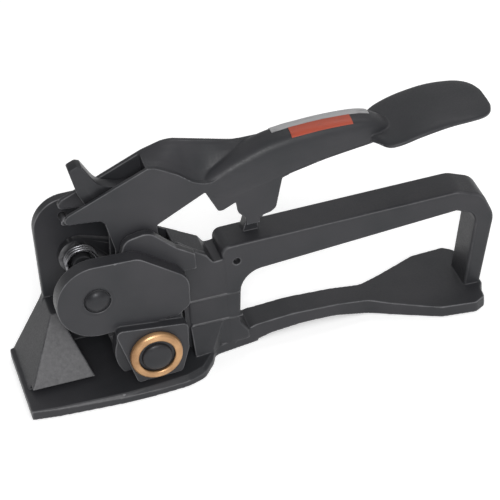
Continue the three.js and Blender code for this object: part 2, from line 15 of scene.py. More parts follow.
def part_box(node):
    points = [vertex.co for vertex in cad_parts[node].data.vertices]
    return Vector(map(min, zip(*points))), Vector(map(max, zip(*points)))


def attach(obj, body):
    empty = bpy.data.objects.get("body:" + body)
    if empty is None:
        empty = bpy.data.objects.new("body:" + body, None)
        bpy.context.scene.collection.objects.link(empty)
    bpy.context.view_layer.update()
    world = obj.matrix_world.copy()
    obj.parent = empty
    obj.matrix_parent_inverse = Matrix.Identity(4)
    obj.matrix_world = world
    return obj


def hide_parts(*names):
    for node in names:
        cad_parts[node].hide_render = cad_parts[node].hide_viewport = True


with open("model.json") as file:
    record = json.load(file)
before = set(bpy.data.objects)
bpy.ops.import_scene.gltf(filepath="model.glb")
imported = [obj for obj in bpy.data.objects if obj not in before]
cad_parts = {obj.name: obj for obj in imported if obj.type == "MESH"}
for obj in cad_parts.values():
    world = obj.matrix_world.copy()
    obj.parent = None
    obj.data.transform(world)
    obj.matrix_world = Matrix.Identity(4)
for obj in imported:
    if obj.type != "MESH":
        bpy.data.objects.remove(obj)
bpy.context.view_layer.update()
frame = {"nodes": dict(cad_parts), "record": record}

MM = 0.001


# ---------- places read from the frame ----------

def middle(node):
    """Centre of a CAD node's box, in millimetres, as (x, y, z)."""
    low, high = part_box(node)
    return tuple((a + b) / 2 / MM for a, b in zip(low, high))


def span(node, axis):
    """Lowest and highest place of a CAD node along an axis, in millimetres."""
    low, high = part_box(node)
    return low[axis] / MM, high[axis] / MM


def xz(node):
    x, _, z = middle(node)
    return x, z


PIVOT = xz("pivot_pin_near")
SHAFT = xz("shaft_bushing_near")
HINGE = xz("drive_pawl_pin")
STUD = xz("holding_pawl_stud")
TIE = xz("rocker_tie_bolt")
ANCHOR = xz("spring_anchor_pin")
NOSE_X = -160
FOOT_FRONT_X = -161
FOOT_FAR_Y = 36
SHELL_NEAR_Y = 29.2
SHELL_FAR_Y = 36
CHEEK_NEAR_Y = -30
BLOCK_NEAR_Y = -36
LOOP_HALF_Y = 13.3
YOKE_OUTER_Y = 11.7
YOKE_INNER_Y = 8
WHEEL_R = 22.6
SHAFT_R = 11
PIVOT_R = 7
STUD_R = 4
ANCHOR_R = 2.5


# ---------- outlines ----------

def outline(points, step=4):
    """A closed outline from corners (a, b) or (a, b, radius); a radius rounds that corner."""
    found = []
    count = len(points)
    for i, point in enumerate(points):
        corner = Vector(point[:2])
        radius = point[2] if len(point) > 2 else 0
        if not radius:
            found.append(tuple(corner))
            continue
        before = (Vector(points[i - 1][:2]) - corner).normalized()
        after = (Vector(points[(i + 1) % count][:2]) - corner).normalized()
        half = before.angle(after) / 2
        centre = corner + (before + after).normalized() * (radius / math.sin(half))
        start = corner + before * (radius / math.tan(half)) - centre
        turn = math.pi - 2 * half
        sign = 1 if before.x * after.y - before.y * after.x < 0 else -1
        pieces = max(1, math.ceil(math.degrees(turn) / step))
        for k in range(pieces + 1):
            turned = Matrix.Rotation(sign * turn * k / pieces, 2) @ start
            found.append(tuple(centre + turned))
    return found


def disc(centre, radius, sides=72):
    steps = [2 * math.pi * k / sides for k in range(sides)]
    return [(centre[0] + radius * math.cos(a), centre[1] + radius * math.sin(a)) for a in steps]


def around(discs, sides=72):
    """The convex outline round discs (a, b, radius)."""
    points = sorted({p for a, b, r in discs for p in disc((a, b), r, sides)})

    def chain(ordered):
        kept = []
        for p in ordered:
            while len(kept) > 1:
                (ax, ay), (bx, by) = kept[-2:]
                if (bx - ax) * (p[1] - ay) - (by - ay) * (p[0] - ax) > 1e-7:
                    break
                kept.pop()
            kept.append(p)
        return kept[:-1]

    return chain(points) + chain(points[::-1])


def smoothed(rows, between=5):
    """Rows of numbers, with more put between them along a smooth curve."""
    known = [np.array(row, float) for row in rows]
    found = []
    for i in range(len(known) - 1):
        before, here, there, after = (known[min(max(k, 0), len(known) - 1)] for k in range(i - 1, i + 3))
        for t in np.linspace(0, 1, between, endpoint=False):
            bend = (2 * before - 5 * here + 4 * there - after) * t * t
            twist = (3 * here - before - 3 * there + after) * t ** 3
            found.append(tuple((2 * here + (there - before) * t + bend + twist) / 2))
    return found + [rows[-1]]


# ---------- meshes ----------

def new_object(name, mesh):
    made = bpy.data.objects.new(name, mesh)
    bpy.context.scene.collection.objects.link(made)
    return made


def closed(name, vertices, faces):
    """An object of a closed mesh whose corners are in millimetres."""
    mesh = bpy.data.meshes.new(name)
    work = bmesh.new()
    corners = [work.verts.new(Vector(v) * MM) for v in vertices]
    for face in faces:
        work.faces.new([corners[i] for i in face])
    bmesh.ops.recalc_face_normals(work, faces=work.faces)
    work.to_mesh(mesh)
    work.free()
    return new_object(name, mesh)


def loft(rings, name="loft"):
    """A closed skin over rings of points, with flat ends."""
    size = len(rings[0])
    vertices = [p for ring in rings for p in ring]
    faces = [
        (r * size + k, r * size + (k + 1) % size, (r + 1) * size + (k + 1) % size, (r + 1) * size + k)
        for r in range(len(rings) - 1)
        for k in range(size)
    ]
    last = (len(rings) - 1) * size
    return closed(name, vertices, faces + [tuple(range(size)), tuple(range(last, last + size))])


def plate(points, near, far):
    """An outline in x, z given thickness along y."""
    return loft([[(a, y, b) for a, b in points] for y in (near, far)], "plate")


def slab(points, low, high):
    """An outline in x, y given thickness along z."""
    return loft([[(a, b, z) for a, b in points] for z in (low, high)], "slab")


def rod(centre, radius, near, far, sides=72):
    return plate(disc(centre, radius, sides), near, far)


def post(x, y, radius, low, high, sides=48):
    """A round bar along z."""
    return slab(disc((x, y), radius, sides), low, high)


def block(low, high):
    x0, y0, z0 = low
    x1, y1, z1 = high
    return plate([(x0, z0), (x1, z0), (x1, z1), (x0, z1)], y0, y1)


def hull(points):
    """The convex solid round points."""
    work = bmesh.new()
    for p in points:
        work.verts.new(Vector(p) * MM)
    made = bmesh.ops.convex_hull(work, input=work.verts)
    bmesh.ops.delete(work, geom=list({*made["geom_interior"], *made["geom_unused"]}), context="VERTS")
    mesh = bpy.data.meshes.new("hull")
    work.to_mesh(mesh)
    work.free()
    return new_object("hull", mesh)


def lathe(centre, profile, sides=96, name="lathe"):
    """A turned piece about the axis at x, z. Its profile of (radius, y) starts and ends on the
    axis, or closes on itself when its first point has a radius."""
    ringed = profile[0][0] > 0
    work = bmesh.new()
    rings = []
    for radius, y in profile:
        if radius > 0:
            rings.append([work.verts.new(Vector((a, y, b)) * MM) for a, b in disc(centre, radius, sides)])
        else:
            rings.append([work.verts.new(Vector((centre[0], y, centre[1])) * MM)] * sides)
    pairs = list(zip(rings, rings[1:])) + ([(rings[-1], rings[0])] if ringed else [])
    for one, two in pairs:
        for k in range(sides):
            corners = [one[k], one[(k + 1) % sides], two[(k + 1) % sides], two[k]]
            distinct = [c for i, c in enumerate(corners) if c not in corners[:i]]
            if len(distinct) > 2:
                work.faces.new(distinct)
    bmesh.ops.recalc_face_normals(work, faces=work.faces)
    mesh = bpy.data.meshes.new(name)
    work.to_mesh(mesh)
    work.free()
    return new_object(name, mesh)


def drop(piece):
    mesh = piece.data
    bpy.data.objects.remove(piece)
    bpy.data.meshes.remove(mesh)


def apply(piece):
    """Makes a piece's modifiers part of its mesh."""
    bpy.context.view_layer.update()
    graph = bpy.context.evaluated_depsgraph_get()
    mesh = bpy.data.meshes.new_from_object(piece.evaluated_get(graph))
    piece.modifiers.clear()
    old = piece.data
    piece.data = mesh
    bpy.data.meshes.remove(old)
    return piece


def boolean(piece, tools, operation):
    for tool in tools:
        modifier = piece.modifiers.new(operation, "BOOLEAN")
        modifier.operation = operation
        modifier.solver = "MANIFOLD"
        modifier.object = tool
        apply(piece)
        drop(tool)
    return piece


def join(piece, *others):
    return boolean(piece, others, "UNION")


def cut(piece, *tools):
    return boolean(piece, tools, "DIFFERENCE")


def common(piece, *tools):
    return boolean(piece, tools, "INTERSECT")


def cast(piece, voxel, passes, keep=0.35):
    """The skin of a casting: every edge softened, as a fine mesh that is thinned and eased."""
    skin = piece.modifiers.new("skin", "REMESH")
    skin.mode = "VOXEL"
    skin.voxel_size = voxel * MM
    ease = piece.modifiers.new("ease", "SMOOTH")
    ease.factor = 0.5
    ease.iterations = passes
    thin = piece.modifiers.new("thin", "DECIMATE")
    thin.ratio = keep
    even = piece.modifiers.new("even", "SMOOTH")
    even.factor = 0.5
    even.iterations = 2
    return apply(piece)


def bevelled(piece, width, segments=3, angle=30):
    """The broken edges of a machined piece."""
    edges = piece.modifiers.new("edges", "BEVEL")
    edges.width = width * MM
    edges.segments = segments
    edges.limit_method = "ANGLE"
    edges.angle_limit = math.radians(angle)
    edges.use_clamp_overlap = True
    return apply(piece)


def wire(points, radius, sides=14, name="wire"):
    """A round wire along points, with flat ends."""
    rings = []
    path = [Vector(p) for p in points]
    side = Vector((0, 1, 0))
    for i, here in enumerate(path):
        along = (path[min(i + 1, len(path) - 1)] - path[max(i - 1, 0)]).normalized()
        side = (side - along * side.dot(along)).normalized()
        up = along.cross(side)
        ring = []
        for k in range(sides):
            angle = 2 * math.pi * k / sides
            ring.append(tuple(here + (side * math.cos(angle) + up * math.sin(angle)) * radius))
        rings.append(ring)
    return loft(rings, name)


def coil(centre, radius, near, far, turns, start, legs, wire_radius, name):
    """A torsion spring about the axis at x, z with straight legs."""
    points = []
    steps = int(turns * 40)
    for i in range(-1, steps + 2):
        share = min(max(i / steps, 0), 1)
        angle = start + 2 * math.pi * turns * share
        past = -legs[0] if i < 0 else legs[1] if i > steps else 0
        points.append((
            centre[0] + radius * math.cos(angle) - past * math.sin(angle),
            near + (far - near) * share,
            centre[1] + radius * math.sin(angle) + past * math.cos(angle),
        ))
    if not legs[0]:
        points = points[1:]
    if not legs[1]:
        points = points[:-1]
    return wire(points, wire_radius, name=name)


# ---------- materials ----------

class Nodes:
    """A short way to write a node tree."""

    def __init__(self, name):
        self.material = bpy.data.materials.new(name)
        self.material.use_nodes = True
        self.tree = self.material.node_tree
        self.shader = self.tree.nodes["Principled BSDF"]
        self.place = self.make("ShaderNodeTexCoord").outputs["Object"]

    def make(self, kind, **settings):
        node = self.tree.nodes.new(kind)
        for key, value in settings.items():
            setattr(node, key, value)
        return node

    def link(self, source, target):
        self.tree.links.new(source, target)

    def noise(self, scale, detail=4.0, stretch=(1, 1, 1)):
        spread = self.make("ShaderNodeMapping")
        spread.inputs["Scale"].default_value = stretch
        self.link(self.place, spread.inputs["Vector"])
        node = self.make("ShaderNodeTexNoise")
        node.inputs["Scale"].default_value = scale
        node.inputs["Detail"].default_value = detail
        self.link(spread.outputs["Vector"], node.inputs["Vector"])
        return node.outputs["Fac"]

    def ramp(self, source, low, high, low_value=0.0, high_value=1.0):
        node = self.make("ShaderNodeMapRange")
        node.clamp = True
        values = (low, high, low_value, high_value)
        for key, value in zip(("From Min", "From Max", "To Min", "To Max"), values):
            node.inputs[key].default_value = value
        self.link(source, node.inputs["Value"])
        return node.outputs["Result"]

    def mix(self, factor, one, two):
        """Colour one to two; each is a colour or a socket."""
        node = self.make("ShaderNodeMix", data_type="RGBA")
        self.link(factor, node.inputs["Factor"])
        for key, value in (("A", one), ("B", two)):
            socket = next(s for s in node.inputs if s.name == key and s.type == "RGBA")
            if isinstance(value, bpy.types.NodeSocket):
                self.link(value, socket)
            else:
                socket.default_value = (*value, 1)
        return next(s for s in node.outputs if s.type == "RGBA")

    def multiply(self, one, two):
        node = self.make("ShaderNodeMath", operation="MULTIPLY")
        self.link(one, node.inputs[0])
        if isinstance(two, bpy.types.NodeSocket):
            self.link(two, node.inputs[1])
        else:
            node.inputs[1].default_value = two
        return node.outputs[0]

    def edges(self, low, high):
        """High where the surface is convex and sharp."""
        return self.ramp(self.make("ShaderNodeNewGeometry").outputs["Pointiness"], low, high)

    def bump(self, height, strength, distance):
        node = self.make("ShaderNodeBump")
        node.inputs["Strength"].default_value = strength
        node.inputs["Distance"].default_value = distance * MM
        self.link(height, node.inputs["Height"])
        self.link(node.outputs["Normal"], self.shader.inputs["Normal"])

    def set(self, **values):
        for key, value in values.items():
            self.shader.inputs[key.replace("_", " ")].default_value = value


def oxide(
    name, dark, light, wear_and_highlight, grain=900, roughness=(0.36, 0.52), grain_depth=0.04, metal=0.0, highlight_facing=None,
    rub_and_highlight=(0.508, 0.548),
):
    """Black oxide over steel: cloudy black, lighter along its convex edges, partly worn and partly a
    painted highlight. Faces turned along highlight_facing are painted grey, a painted highlight."""
    nodes = Nodes(name)
    clouds = nodes.ramp(nodes.noise(28, 5), 0.35, 0.68)
    base = nodes.mix(clouds, dark, light)
    # Painted highlight: faces turned along highlight_facing get a lighter grey, standing in for the light
    # that facet catches.
    if highlight_facing:
        lookout = nodes.make("ShaderNodeVectorMath", operation="DOT_PRODUCT")
        nodes.link(nodes.make("ShaderNodeNewGeometry").outputs["Normal"], lookout.inputs[0])
        lookout.inputs[1].default_value = highlight_facing
        facet_highlight = nodes.mix(nodes.ramp(nodes.noise(420, 8), 0.3, 0.7), FACET_HIGHLIGHT_DARK, FACET_HIGHLIGHT_LIGHT)
        base = nodes.mix(nodes.ramp(lookout.outputs["Value"], 0.985, 0.994), base, facet_highlight)
    # Convex edges get a lighter colour: partly worn oxide, partly a painted highlight along the edges.
    rubbed_and_highlit = nodes.multiply(nodes.edges(*rub_and_highlight), nodes.ramp(nodes.noise(110, 2), 0.2, 0.65, 0.25, 1.0))
    nodes.link(nodes.mix(rubbed_and_highlit, base, wear_and_highlight), nodes.shader.inputs["Base Color"])
    speckle = nodes.noise(grain, 6)
    nodes.link(nodes.ramp(speckle, 0.3, 0.7, *roughness), nodes.shader.inputs["Roughness"])
    nodes.bump(speckle, 0.35, grain_depth)
    nodes.set(Metallic=metal)
    nodes.shader.inputs["Specular IOR Level"].default_value = 0.28
    return nodes.material


def ground(name, dark, light, roughness, stretch, grain_depth=0.01, metal=1.0):
    """Machined metal, with the fine lines of its last cut."""
    nodes = Nodes(name)
    lines = nodes.noise(700, 2, stretch)
    clouds = nodes.ramp(nodes.noise(60, 4), 0.3, 0.7)
    nodes.link(nodes.mix(clouds, dark, light), nodes.shader.inputs["Base Color"])
    nodes.link(nodes.ramp(lines, 0.3, 0.7, *roughness), nodes.shader.inputs["Roughness"])
    nodes.bump(lines, 0.25, grain_depth)
    nodes.set(Metallic=metal)
    return nodes.material


def sticker(name, colour, worn, roughness):
    """A printed label: even colour, faint scuffs, no lettering."""
    nodes = Nodes(name)
    scuffs = nodes.ramp(nodes.noise(300, 6, (0.4, 1.4, 1)), 0.55, 0.75)
    nodes.link(nodes.mix(scuffs, colour, worn), nodes.shader.inputs["Base Color"])
    nodes.link(nodes.ramp(nodes.noise(900, 3), 0.3, 0.7, *roughness), nodes.shader.inputs["Roughness"])
    nodes.bump(nodes.noise(400, 4), 0.15, 0.03)
    return nodes.material


# Lighter greys painted on the nose's near facet, a painted highlight.
FACET_HIGHLIGHT_DARK = (0.060, 0.059, 0.063)
FACET_HIGHLIGHT_LIGHT = (0.085, 0.084, 0.088)
NOSE_CORNERS = [Vector(p) for p in ((NOSE_X, -24, 7), (-110.6, -24, 7), (-133, 9, 48))]
NOSE_LOOKOUT = (NOSE_CORNERS[1] - NOSE_CORNERS[0]).cross(NOSE_CORNERS[2] - NOSE_CORNERS[0]).normalized()

BLACK_DEEP = (0.0225, 0.0235, 0.0262)
BLACK_CLOUD = (0.0315, 0.031, 0.0345)
# The third colour of each oxide goes on convex edges: partly worn oxide, partly a painted highlight.
CASTING = oxide("black casting", BLACK_DEEP, BLACK_CLOUD, (0.16, 0.16, 0.167), highlight_facing=NOSE_LOOKOUT)
FORGING = oxide("black lever", BLACK_DEEP, BLACK_CLOUD, (0.15, 0.15, 0.157), rub_and_highlight=(0.515, 0.555))
BLACK_STEEL = oxide(
    "black steel", (0.022, 0.0225, 0.025), (0.033, 0.033, 0.036), (0.15, 0.15, 0.155),
    roughness=(0.3, 0.45), grain_depth=0.015, metal=0.3, rub_and_highlight=(0.53, 0.62),
)
GROUND_STEEL = ground("ground steel", (0.20, 0.20, 0.21), (0.30, 0.30, 0.31), (0.3, 0.45), (1, 6, 1))
SPRING_STEEL = ground("spring wire", (0.16, 0.16, 0.17), (0.26, 0.26, 0.27), (0.25, 0.4), (1, 1, 1))
BRONZE = ground("bronze", (0.27, 0.14, 0.062), (0.58, 0.345, 0.17), (0.3, 0.42), (1, 8, 1), metal=0.55)
SILVER = sticker("silver label", (0.33, 0.33, 0.335), (0.19, 0.19, 0.195), (0.35, 0.5))
ORANGE = sticker("orange label", (0.33, 0.046, 0.018), (0.24, 0.044, 0.024), (0.35, 0.5))


# ---------- finishing a piece ----------

def place(piece, name, body, nodes, material, slot, smooth_angle=None):
    """Names a finished piece, gives it its material and rides it on its body."""
    piece.name = name
    piece.data.name = name
    piece.data.materials.clear()
    piece.data.materials.append(material)
    piece.data.shade_smooth()
    if smooth_angle:
        piece.data.set_sharp_from_angle(angle=math.radians(smooth_angle))
    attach(piece, body)
    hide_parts(*nodes)
    return piece


# ---------- base ----------

def foot():
    plan = outline([
        (FOOT_FRONT_X, -36.6, 1), (-142.9, -39.2), (-122.6, -40.6), (-95.5, -42.2, 40), (-74, -41.8, 40),
        (-53, -40.2, 30), (-41, -35.7, 12), (-32, -24, 12), (-28, -15, 6), (-12, -12.5), (4, -10), (4, 10),
        (-20, FOOT_FAR_Y, 4), (FOOT_FRONT_X, FOOT_FAR_Y, 2),
    ])
    rim = []
    for x, edge, width, fall in (
        (-164, -36.5, 1, 1), (-143, -39.2, 1.4, 1.4), (-122.6, -40.6, 1.8, 1.8), (-95.5, -42.2, 2.6, 2.4),
        (-74, -41.8, 3.4, 2.8), (-53, -40.2, 4, 3), (-41, -35.7, 4.5, 3), (-30, -22, 4.5, 3),
    ):
        inner = edge + width
        rim.append([(x, inner, 7.05), (x, inner - 12, 7.05), (x, inner - 12, 7.05 - 12 * fall / width)])
    return cut(slab(plan, 0, 7), loft(rim))


def nose():
    outer = hull([
        (NOSE_X + 0.5, -24, 5), (NOSE_X + 0.5, FOOT_FAR_Y, 5), (-133, 9, 48), (-133, FOOT_FAR_Y, 48),
        (-110.6, -24, 5), (-128, 9, 48), (-110.6, FOOT_FAR_Y, 5), (-128, FOOT_FAR_Y, 48),
    ])
    hollow = hull([
        (-153, -17.6, 5), (-153, SHELL_NEAR_Y, 5), (-129.5, 12, 44), (-129.5, SHELL_NEAR_Y, 44),
        (-90, -17.6, 5), (-90, SHELL_NEAR_Y, 5), (-90, 12, 44), (-90, SHELL_NEAR_Y, 44),
    ])
    return cut(outer, hollow, block((-170, -50, 7), (-90, -12.6, 10.6)))


def far_shell():
    side = outline([
        (-155, 3), (-133.6, 48, 3), (-133.6, 124.5, 23), (-97, 124.5, 12), (-52, 80, 10), (-20, 63, 3),
        (-20, 3),
    ])
    return plate(side, SHELL_NEAR_Y, SHELL_FAR_Y)


def inner_wall():
    side = outline([
        (-106, 92.5), (-88, 92.5, 6), (-82, 113, 8), (-65, 116, 11), (-48, 99, 4), (-36, 91),
        (-36, 79), (-60, 79, 8), (-98, 66.5), (-106, 65),
    ])
    return join(plate(side, -18.6, -12.6), rod(PIVOT, 14, -18.6, -12.6))


def middle_body():
    top = [(-48, 99, 2), (-38, 91), (-27, 83, 2), (-23, 76.5, 2), (-12, 77.5), (-7, 60), (-9, 10), (-14, 4)]
    skin = outline(top + [(-30, 4), (-31, 27, 2), (-42, 29, 2), (-42, 57, 2), (-44, 79, 2), (-48, 80, 1)])
    far_top = [(-48, 94.8, 1), (-27, 82.6, 2), (-23, 76.5, 2), (-12, 77.5), (-7, 60), (-9, 10), (-14, 4)]
    core = outline(far_top + [(-24, 4), (-24, 56, 3), (-42, 58, 2), (-44, 79, 2), (-48, 80, 1)])
    web = block((-24, 5, 3), (-20.5, SHELL_NEAR_Y + 2, 60))
    far_wall = outline([(-59, 100.6, 1), (-40, 89.6), (-40, 78), (-55, 80, 4)])
    lap = outline([(-46, 12), (-46, 56, 2), (-38, 60), (-24, 60), (-24, 5), (-40, 5)])
    flare = hull([
        (-43, -10, 28), (-43, -13.2, 27.5), (-43, -21, 6), (-31.5, -19.5, 6), (-26, -13.4, 6),
        (-20, -13.2, 27.5), (-20, -10, 28), (-20, -10, 6), (-43, -10, 6),
    ])
    ridges = [block((-42, -13.9, z), (-6, -12, z + 1.1)) for z in (27.4, 47.6)]
    return join(
        plate(skin, -13, -8.4), *ridges, plate(lap, -12.3, -8.4), plate(core, -9, 13),
        plate(far_wall, 12.1, 14), web, flare,
    )


def grip_loop():
    outer = outline([
        (-17, 86, 6), (151, 87.8, 16), (168.8, 80.6, 13), (176.2, 62, 16), (163.8, 3), (152, 3),
        (163.4, 66, 9), (149, 72), (-4.5, 61.4, 17), (-8, 22, 6), (-2, 13, 2), (-2, 6), (-17, 6),
    ])
    return bevelled(plate(outer, -LOOP_HALF_Y, LOOP_HALF_Y), 4, 3, 50)


def lower_strip():
    side = outline([
        (-30, 0), (-4, 0, 8), (14, 4.2, 20), (36, 6.2, 40), (60, 5.4, 60), (84, 0.4, 20), (96, 0), (166, 0),
        (166, 8), (122, 8.6, 60), (98, 10, 30), (62, 14.6, 60), (30, 16.2, 60), (2, 14.5, 20), (-14, 9, 10),
        (-30, 6.6),
    ])
    plan = outline([
        (-30, -12), (-12, -12, 10), (6, -10.4, 30), (84, -9.4, 14), (130, -31.6, 10), (154, -34.6, 5),
        (162, -29.8, 4), (163, -20), (169, -8, 6), (170, 6, 6), (163, 20), (160.5, 29, 2), (154, 34, 2),
        (130, 32.5, 10), (84, 10, 14), (6, 10, 30), (-12, 12, 10), (-30, 12),
    ])
    return common(plate(side, -40, 40), slab(plan, -1, 20))


def stop_nub():
    return plate(outline([(1, 84), (6, 98.4, 1.5), (12.5, 98.4, 1.5), (13, 84)]), 0, 9)


def base_casting():
    body = join(
        foot(), nose(), far_shell(), inner_wall(), middle_body(), grip_loop(), lower_strip(), stop_nub(),
    )
    lift = 5.5, 4
    window = around([(*SHAFT, 14), (SHAFT[0] + lift[0], SHAFT[1] + lift[1], 14)])
    cut(
        body,
        block((-86.3, -27.3, 4.7), (-59.7, -11.7, 20)),
        block((-92, -8, 4.6), (-54, 8, 20)),
        plate(window, SHELL_NEAR_Y - 1, 60),
        post(-73, -19.5, 4.3, -1, 3.3),
        post(-73, -19.5, 2.3, 0, 6),
        rod(PIVOT, PIVOT_R + 0.2, -40, 0),
        rod(PIVOT, PIVOT_R + 0.2, SHELL_NEAR_Y - 1, 60),
        rod(ANCHOR, ANCHOR_R + 0.2, SHELL_NEAR_Y - 1, 60),
        rod((-7, 73), 2.5, -20, -8),
    )
    return place(cast(body, 0.45, 5, 0.25), "casting", "base", ["base_casting"], CASTING, "black_casting")


base_casting()


# ---------- rocker ----------

def pin_recess():
    """A shallow dish round the pin's head, to be cut from the near cheek."""
    return lathe(PIVOT, [
        (0, -31), (13.4, -31), (11.8, -30.1), (10.2, -29.5), (9.2, -29.2), (9.2, -27.9), (0, -27.9),
    ])


def rocker_near_plate():
    cheek = outline([
        (-106, 106.6), (-76, 105.5, 12), (-44, 82, 14), (-44.8, 60, 5), (-54, 53, 3), (-98, 51.9),
        (-106, 51.4),
    ])
    block_side = outline([(-99, 55.5, 4), (-49, 49.5, 4), (-50, 29, 3), (-56, 11, 4), (-87, 9.8, 3)])
    body = join(
        plate(cheek, CHEEK_NEAR_Y, -19),
        rod(PIVOT, 27.6, CHEEK_NEAR_Y, -19, 120),
        block((-97, -29, 40), (-51, -26, 60)),
        plate(block_side, BLOCK_NEAR_Y, -26),
        common(rod(SHAFT, 26, -29, -19, 96), block((-100, -31, 16), (-73, -18, 60))),
    )
    cut(
        body,
        rod(PIVOT, PIVOT_R + 0.25, -40, 0),
        pin_recess(),
        rod(SHAFT, 16.3, -40, 0),
        rod(SHAFT, WHEEL_R + 0.6, -25.9, 0, 96),
    )
    return place(
        cast(body, 0.4, 6), "rocker_near", "rocker", ["rocker_near_plate"], CASTING, "black_casting",
    )


rocker_near_plate()


# ---------- lever ----------

def yoke_side():
    return outline([
        (-115, 137.4, 3), (-58.5, 161.3), (-45, 165, 8), (-38, 165, 8), (3, 153.6, 30), (20, 153.4, 20),
        (34, 152), (34, 131.2), (29.2, 129.8, 1), (23.4, 107.6, 4), (19.5, 105, 4), (11.5, 103.5),
        (11.5, 98.8), (4, 98.8), (4, 104.3, 1), (1.5, 110, 3), (0.8, 119.6), (-12.6, 114.6, 2),
        (-16, 114.9, 2), (-23.5, 131.7), (-57.6, 114.8, 2), (-55.5, 31), (-90.5, 31), (-87, 103, 12),
        (-89, 112, 12), (-92, 127.5, 5), (-121.5, 131, 3),
    ])


def near_yoke_side():
    """The near plate, whose top edge dips where the bar sweeps past it."""
    return outline([
        (-115, 137, 3), (-60, 159.8), (-54, 158.5, 6), (-40, 150, 20), (-24, 136, 10), (-12, 134), (34, 134),
        (34, 131.2), (29.2, 129.8, 1), (23.4, 107.6, 4), (19.5, 105, 4), (11.5, 103.5), (11.5, 98.8),
        (2.4, 98.8), (2.4, 104.3, 1), (-2.6, 110, 4), (-3.4, 118.8), (-12.6, 114.6, 2), (-16, 114.9, 2),
        (-23.5, 131.7), (-57.6, 114.8, 2), (-55.5, 31), (-90.5, 31), (-87, 103, 12), (-89, 112, 12),
        (-92, 127.5, 5), (-121.5, 131, 3),
    ])


def round_section(x, half_width, low, high, power=3.2, sides=40, shift=0.0):
    """A rounded box across the lever at x."""
    ring = []
    for k in range(sides):
        angle = 2 * math.pi * (k + 0.5) / sides
        c, s = math.cos(angle), math.sin(angle)
        y = half_width * math.copysign(abs(c) ** (2 / power), c)
        z = (low + high) / 2 + (high - low) / 2 * math.copysign(abs(s) ** (2 / power), s)
        ring.append((x, y + shift, z))
    return ring


# across the bar at x: half width, lowest and highest z
BAR_STATIONS = smoothed([
    (-30, 9.5, 117, 134), (-24, 11, 117, 139.5), (-10, 12, 117.5, 146.6), (3, 12.2, 119.6, 151.8),
    (20, 12.2, 123.4, 157.4), (34, 12.2, 128, 159.6), (45, 12, 130.4, 160.3), (60, 12, 133.6, 160.7),
    (80, 11.8, 136.5, 159.9), (92, 11, 137.9, 157.8), (100, 9.5, 139.5, 153.8), (106, 7, 141.5, 149.5),
])


def lever_bar():
    notch = [
        (-62, 100), (-62, 112.6), (-23.5, 131.7), (-16, 114.9), (-12.6, 114.6), (-3.4, 118.8), (-2.6, 110),
        (-2, 100),
    ]
    return cut(loft([round_section(*s) for s in BAR_STATIONS]), plate(notch, -20, 20))


def web():
    """The surface between the yoke plates, high on the far side and falling to the near one."""
    side = YOKE_OUTER_Y - 0.6
    rings = []
    for x, low, near, far in smoothed([
        (-60.5, 150, 159, 160.2), (-52, 136, 157, 162.8), (-45, 131, 153, 164.8), (-38, 130, 147.8, 164.8),
        (-30, 132, 141.6, 162.6), (-20, 134, 138.5, 159.8), (-8, 137, 142, 156.6), (6, 139, 145, 153.2),
        (16, 140, 146, 152.8),
    ]):
        rise = far - near
        rings.append([
            (x, -side, low), (x, -side, near), (x, -7, near + 0.03 * rise), (x, -2, near + 0.25 * rise),
            (x, 3, near + 0.68 * rise), (x, 7, near + 0.93 * rise), (x, side, far), (x, side, low),
        ])
    return loft(rings)


def palm():
    """A shallow spoon, thinner towards its edges."""
    return loft([round_section(x, half, low, high, 2.6, 72, shift) for x, half, low, high, shift in smoothed([
        (89, 9.5, 141, 149, 0), (94, 15.6, 140.9, 148.2, -0.6), (99.5, 23.4, 140.9, 147.9, -0.9),
        (108, 26.6, 142.2, 149.6, -0.2), (122, 27.4, 145.3, 152.9, 0.2), (141, 27.2, 147.8, 155, 0.6),
        (157, 26, 147.6, 154.2, 1), (166.5, 23.6, 146.8, 152.8, 1.4), (172.5, 18.5, 146.6, 151.6, 1.4),
        (175.6, 11, 147.2, 150.6, 1.2),
    ])])


def tension_lever():
    lug = outline([
        (3.4, 98.8), (11.5, 98.8), (21, 107, 3), (27, 135), (-8, 135), (-1.6, 118.8), (-0.8, 110),
        (3.4, 104.3),
    ])
    body = join(
        plate(near_yoke_side(), -YOKE_OUTER_Y + 0.6, -YOKE_INNER_Y),
        plate(yoke_side(), YOKE_INNER_Y, YOKE_OUTER_Y),
        rod(SHAFT, 20, -YOKE_OUTER_Y, -YOKE_INNER_Y),
        rod(SHAFT, 20, YOKE_INNER_Y, YOKE_OUTER_Y),
        lever_bar(),
        web(),
        palm(),
        plate(lug, -8.6, 6),
    )
    cut(body, rod(SHAFT, SHAFT_R + 0.3, -20, 20), rod(HINGE, STUD_R + 0.1, -20, 20))
    return place(cast(body, 0.44, 9, 0.28), "lever", "lever", ["tension_lever"], FORGING, "black_casting")


tension_lever()


# ---------- stickers ----------

def sticker_on_bar(from_x, to_x, near, far):
    """A thin skin that follows the bar's crown."""
    lifted = [(x, half + 0.4, low, high + 0.4) for x, half, low, high in BAR_STATIONS]
    skin = common(loft([round_section(*s) for s in lifted]), block((from_x, near, 145), (to_x, far, 170)))
    return cut(skin, loft([round_section(*s) for s in BAR_STATIONS]))


place(sticker_on_bar(27, 94, 0.3, 9), "sticker_silver", "lever", ["label_silver"], SILVER, "label_silver", 40)
place(sticker_on_bar(38, 80, -9, 0), "sticker_orange", "lever", ["label_orange"], ORANGE, "label_orange", 40)


# ---------- turned pieces ----------

def turned(name, body, node, axis, profile, material, slot, edge=0.3):
    return place(bevelled(lathe(axis, profile), edge, 2), name, body, [node], material, slot, 40)


